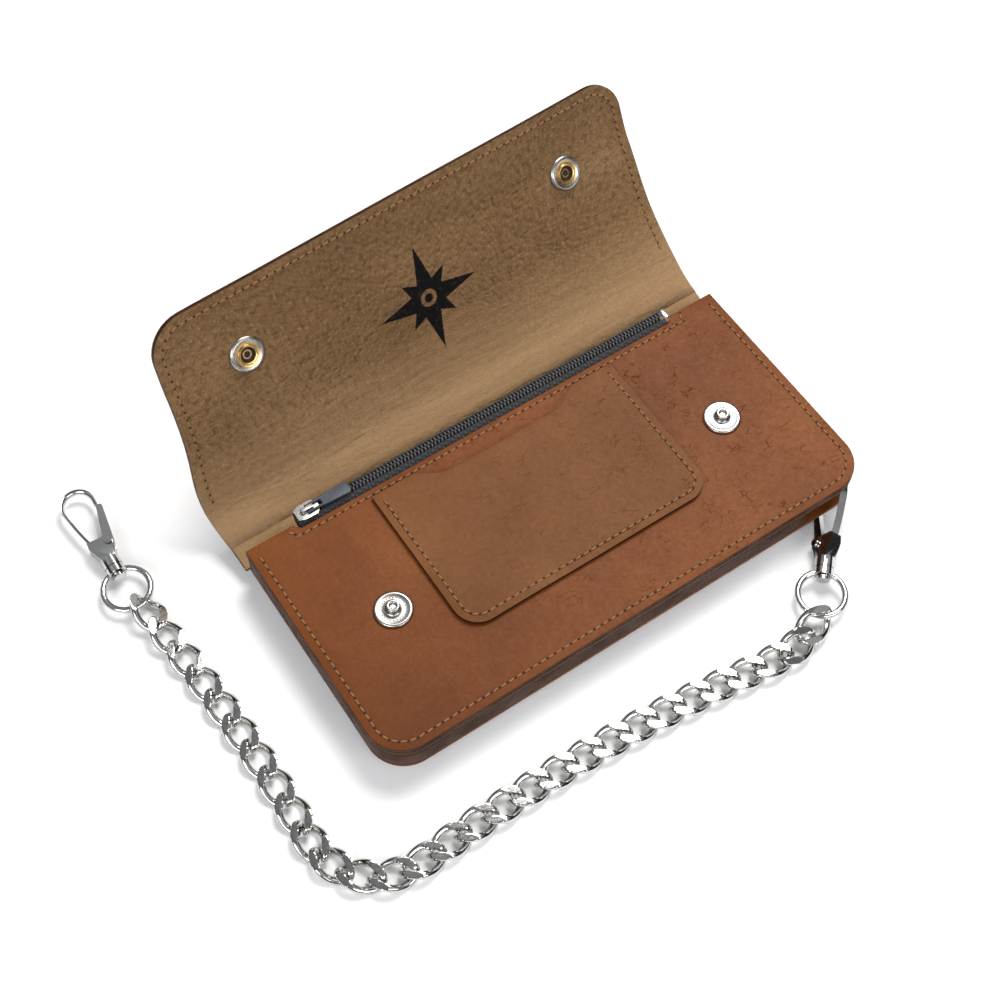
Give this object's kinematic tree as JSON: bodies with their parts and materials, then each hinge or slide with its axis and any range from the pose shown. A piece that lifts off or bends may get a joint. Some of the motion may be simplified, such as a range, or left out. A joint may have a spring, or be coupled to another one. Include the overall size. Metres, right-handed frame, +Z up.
{
  "type": "chain wallet",
  "caption": "Long leather wallet with a zipped coin pocket, a card pocket and a snap flap on a two-part fold, held by a metal curb chain with a swivel clasp at each end.",
  "frame": {"origin": "centre of the back panel's underside", "axes": "+Z up out of the front face with the wallet lying on its back, +X along the long side, +Y from the bottom edge towards the fold"},
  "size_m": [0.238, 0.1908, 0.0731],
  "materials": {
    "saddle_leather": "satin",
    "pocket_leather": "satin",
    "lining_leather": "matte",
    "suede_side": "matte",
    "zip_tape": "matte",
    "zip_teeth": "matte",
    "pull_grip": "satin",
    "snap_nickel": "satin",
    "slider_nickel": "satin",
    "polished_nickel": "polished"
  },
  "bodies": {
    "wallet": {"back_panel": "saddle_leather", "bill_welt": "lining_leather", "pocket_lining": "lining_leather", "coin_welt": "lining_leather", "front_panel": "saddle_leather", "card_pocket": "pocket_leather", "snap_stud_left": "snap_nickel", "snap_post_left": "snap_nickel", "snap_stud_right": "snap_nickel", "snap_post_right": "snap_nickel", "zipper_tape_front": "zip_tape", "zipper_tape_rear": "zip_tape", "zipper_teeth_front": "zip_teeth", "zipper_teeth_rear": "zip_teeth", "chain_eyelet": "snap_nickel"},
    "spine": {"fold_spine": "saddle_leather"},
    "flap": {"flap": "suede_side", "snap_cap_left": "snap_nickel", "snap_socket_left": "snap_nickel", "snap_cap_right": "snap_nickel", "snap_socket_right": "snap_nickel"},
    "zip_slider": {"zipper_slider": "slider_nickel"},
    "zip_pull": {"zipper_pull": "pull_grip"},
    "clasp_a": {"clasp_a_hook": "polished_nickel", "clasp_a_rivet": "polished_nickel"},
    "gate_a": {"clasp_a_gate": "polished_nickel"},
    "ring_a": {"clasp_a_ring": "polished_nickel"},
    "link_01": {"chain_link_01": "polished_nickel"},
    "link_02": {"chain_link_02": "polished_nickel"},
    "link_03": {"chain_link_03": "polished_nickel"},
    "link_04": {"chain_link_04": "polished_nickel"},
    "link_05": {"chain_link_05": "polished_nickel"},
    "link_06": {"chain_link_06": "polished_nickel"},
    "link_07": {"chain_link_07": "polished_nickel"},
    "link_08": {"chain_link_08": "polished_nickel"},
    "link_09": {"chain_link_09": "polished_nickel"},
    "link_10": {"chain_link_10": "polished_nickel"},
    "link_11": {"chain_link_11": "polished_nickel"},
    "link_12": {"chain_link_12": "polished_nickel"},
    "link_13": {"chain_link_13": "polished_nickel"},
    "link_14": {"chain_link_14": "polished_nickel"},
    "link_15": {"chain_link_15": "polished_nickel"},
    "link_16": {"chain_link_16": "polished_nickel"},
    "link_17": {"chain_link_17": "polished_nickel"},
    "link_18": {"chain_link_18": "polished_nickel"},
    "link_19": {"chain_link_19": "polished_nickel"},
    "link_20": {"chain_link_20": "polished_nickel"},
    "link_21": {"chain_link_21": "polished_nickel"},
    "link_22": {"chain_link_22": "polished_nickel"},
    "link_23": {"chain_link_23": "polished_nickel"},
    "link_24": {"chain_link_24": "polished_nickel"},
    "link_25": {"chain_link_25": "polished_nickel"},
    "link_26": {"chain_link_26": "polished_nickel"},
    "link_27": {"chain_link_27": "polished_nickel"},
    "link_28": {"chain_link_28": "polished_nickel"},
    "link_29": {"chain_link_29": "polished_nickel"},
    "ring_b": {"clasp_b_ring": "polished_nickel"},
    "clasp_b": {"clasp_b_hook": "polished_nickel", "clasp_b_rivet": "polished_nickel"},
    "gate_b": {"clasp_b_gate": "polished_nickel"}
  },
  "joints": [
    {"name": "spine_fold", "type": "hinge", "parent": "wallet", "child": "spine", "pos_m": [0, 0.0445, 0.0008], "axis": [1, 0, 0], "range_deg": [-12, 50]},
    {"name": "flap_fold", "type": "hinge", "parent": "spine", "child": "flap", "pos_m": [0, 0.062, 0.00452], "axis": [1, 0, 0], "range_deg": [-43, 75]},
    {"name": "zip_slide", "type": "slide", "parent": "wallet", "child": "zip_slider", "axis": [1, 0, 0], "range_m": [0, 0.14]},
    {"name": "zip_pull_swing", "type": "hinge", "parent": "zip_slider", "child": "zip_pull", "pos_m": [-0.0705, 0.0464, 0.01445], "axis": [0, 1, 0], "range_deg": [-160, 0]},
    {"name": "clasp_a_sway", "type": "hinge", "parent": "wallet", "child": "clasp_a", "pos_m": [0.0864, -0.0359, 0.0008], "axis": [0, 0, 1], "range_deg": [-3, 10]},
    {"name": "gate_a_press", "type": "hinge", "parent": "clasp_a", "child": "gate_a", "pos_m": [0.06938, -0.05318, -0.00088], "axis": [0.6048, -0.5384, -0.5869], "range_deg": [0, 4], "stiffness_Nm_per_rad": 0.02, "springref_deg": -17.19},
    {"name": "ring_a_swivel", "type": "hinge", "parent": "clasp_a", "child": "ring_a", "pos_m": [0.06389, -0.06124, 0.00085], "axis": [0.6936, 0.7182, 0.0558], "range_deg": [-20, 20]},
    {"name": "link_01_turn", "type": "hinge", "parent": "ring_a", "child": "link_01", "pos_m": [0.05306, -0.07245, -0.0003], "axis": [0, 0, 1], "range_deg": [-5, 20]},
    {"name": "link_02_turn", "type": "hinge", "parent": "link_01", "child": "link_02", "pos_m": [0.04394, -0.0763, -0.00084], "axis": [0, 0, -1], "range_deg": [-20, 5]},
    {"name": "link_03_turn", "type": "hinge", "parent": "link_02", "child": "link_03", "pos_m": [0.03432, -0.07783, -0.00137], "axis": [0, 0, 1], "range_deg": [-5, 20]},
    {"name": "link_04_turn", "type": "hinge", "parent": "link_03", "child": "link_04", "pos_m": [0.02445, -0.07702, -0.00177], "axis": [0, 0, -1], "range_deg": [-20, 5]},
    {"name": "link_05_turn", "type": "hinge", "parent": "link_04", "child": "link_05", "pos_m": [0.01456, -0.07555, -0.0019], "axis": [0, 0, 1], "range_deg": [-5, 20]},
    {"name": "link_06_turn", "type": "hinge", "parent": "link_05", "child": "link_06", "pos_m": [0.00464, -0.07424, -0.0019], "axis": [0, 0, -1], "range_deg": [-20, 5]},
    {"name": "link_07_turn", "type": "hinge", "parent": "link_06", "child": "link_07", "pos_m": [-0.00529, -0.07311, -0.0019], "axis": [0, 0, 1], "range_deg": [-5, 20]},
    {"name": "link_08_turn", "type": "hinge", "parent": "link_07", "child": "link_08", "pos_m": [-0.01524, -0.07215, -0.0019], "axis": [0, 0, -1], "range_deg": [-20, 5]},
    {"name": "link_09_turn", "type": "hinge", "parent": "link_08", "child": "link_09", "pos_m": [-0.02521, -0.07137, -0.0019], "axis": [0, 0, 1], "range_deg": [-5, 20]},
    {"name": "link_10_turn", "type": "hinge", "parent": "link_09", "child": "link_10", "pos_m": [-0.03519, -0.07076, -0.0019], "axis": [0, 0, -1], "range_deg": [-20, 5]},
    {"name": "link_11_turn", "type": "hinge", "parent": "link_10", "child": "link_11", "pos_m": [-0.04518, -0.07032, -0.0019], "axis": [0, 0, 1], "range_deg": [-5, 20]},
    {"name": "link_12_turn", "type": "hinge", "parent": "link_11", "child": "link_12", "pos_m": [-0.05518, -0.07006, -0.0019], "axis": [0, 0, -1], "range_deg": [-20, 5]},
    {"name": "link_13_turn", "type": "hinge", "parent": "link_12", "child": "link_13", "pos_m": [-0.06518, -0.06997, -0.0019], "axis": [0, 0, 1], "range_deg": [-5, 20]},
    {"name": "link_14_turn", "type": "hinge", "parent": "link_13", "child": "link_14", "pos_m": [-0.07518, -0.07006, -0.0019], "axis": [0, 0, -1], "range_deg": [-20, 5]},
    {"name": "link_15_turn", "type": "hinge", "parent": "link_14", "child": "link_15", "pos_m": [-0.08517, -0.07032, -0.0019], "axis": [0, 0, 1], "range_deg": [-5, 20]},
    {"name": "link_16_turn", "type": "hinge", "parent": "link_15", "child": "link_16", "pos_m": [-0.09516, -0.07076, -0.0019], "axis": [0, 0, -1], "range_deg": [-20, 5]},
    {"name": "link_17_turn", "type": "hinge", "parent": "link_16", "child": "link_17", "pos_m": [-0.10499, -0.0703, -0.0019], "axis": [0, 0, 1], "range_deg": [-5, 20]},
    {"name": "link_18_turn", "type": "hinge", "parent": "link_17", "child": "link_18", "pos_m": [-0.11397, -0.06698, -0.0019], "axis": [0, 0, -1], "range_deg": [-20, 5]},
    {"name": "link_19_turn", "type": "hinge", "parent": "link_18", "child": "link_19", "pos_m": [-0.12085, -0.06032, -0.0019], "axis": [0, 0, 1], "range_deg": [-5, 20]},
    {"name": "link_20_turn", "type": "hinge", "parent": "link_19", "child": "link_20", "pos_m": [-0.12445, -0.05145, -0.0019], "axis": [0, 0, -1], "range_deg": [-20, 5]},
    {"name": "link_21_turn", "type": "hinge", "parent": "link_20", "child": "link_21", "pos_m": [-0.12522, -0.04143, -0.0019], "axis": [0, 0, 1], "range_deg": [-5, 20]},
    {"name": "link_22_turn", "type": "hinge", "parent": "link_21", "child": "link_22", "pos_m": [-0.12511, -0.03084, -0.0019], "axis": [0, 0, -1], "range_deg": [-20, 5]},
    {"name": "link_23_turn", "type": "hinge", "parent": "link_22", "child": "link_23", "pos_m": [-0.1252, -0.02004, -0.0019], "axis": [0, 0, 1], "range_deg": [-5, 20]},
    {"name": "link_24_turn", "type": "hinge", "parent": "link_23", "child": "link_24", "pos_m": [-0.12551, -0.00924, -0.0019], "axis": [0, 0, -1], "range_deg": [-20, 5]},
    {"name": "link_25_turn", "type": "hinge", "parent": "link_24", "child": "link_25", "pos_m": [-0.12601, 0.00154, -0.0019], "axis": [0, 0, 1], "range_deg": [-5, 20]},
    {"name": "link_26_turn", "type": "hinge", "parent": "link_25", "child": "link_26", "pos_m": [-0.12673, 0.01232, -0.0019], "axis": [0, 0, -1], "range_deg": [-20, 5]},
    {"name": "link_27_turn", "type": "hinge", "parent": "link_26", "child": "link_27", "pos_m": [-0.12765, 0.02308, -0.00177], "axis": [0, 0, 1], "range_deg": [-5, 20]},
    {"name": "link_28_turn", "type": "hinge", "parent": "link_27", "child": "link_28", "pos_m": [-0.12878, 0.03382, -0.00137], "axis": [0, 0, -1], "range_deg": [-20, 5]},
    {"name": "link_29_turn", "type": "hinge", "parent": "link_28", "child": "link_29", "pos_m": [-0.13012, 0.04454, -0.00083], "axis": [0, 0, 1], "range_deg": [-5, 20]},
    {"name": "ring_b_turn", "type": "hinge", "parent": "link_29", "child": "ring_b", "pos_m": [-0.1316, 0.05523, -0.0003], "axis": [0, 0, -1], "range_deg": [-20, 5]},
    {"name": "clasp_b_swivel", "type": "hinge", "parent": "ring_b", "child": "clasp_b", "pos_m": [-0.13233, 0.07037, -0.0003], "axis": [0.014, 0.9999, 0], "range_deg": [-20, 20]},
    {"name": "gate_b_press", "type": "hinge", "parent": "clasp_b", "child": "gate_b", "pos_m": [-0.1294, 0.07983, -0.0003], "axis": [0, 0, 1], "range_deg": [0, 24], "stiffness_Nm_per_rad": 0.02, "springref_deg": -17.19}
  ]
}
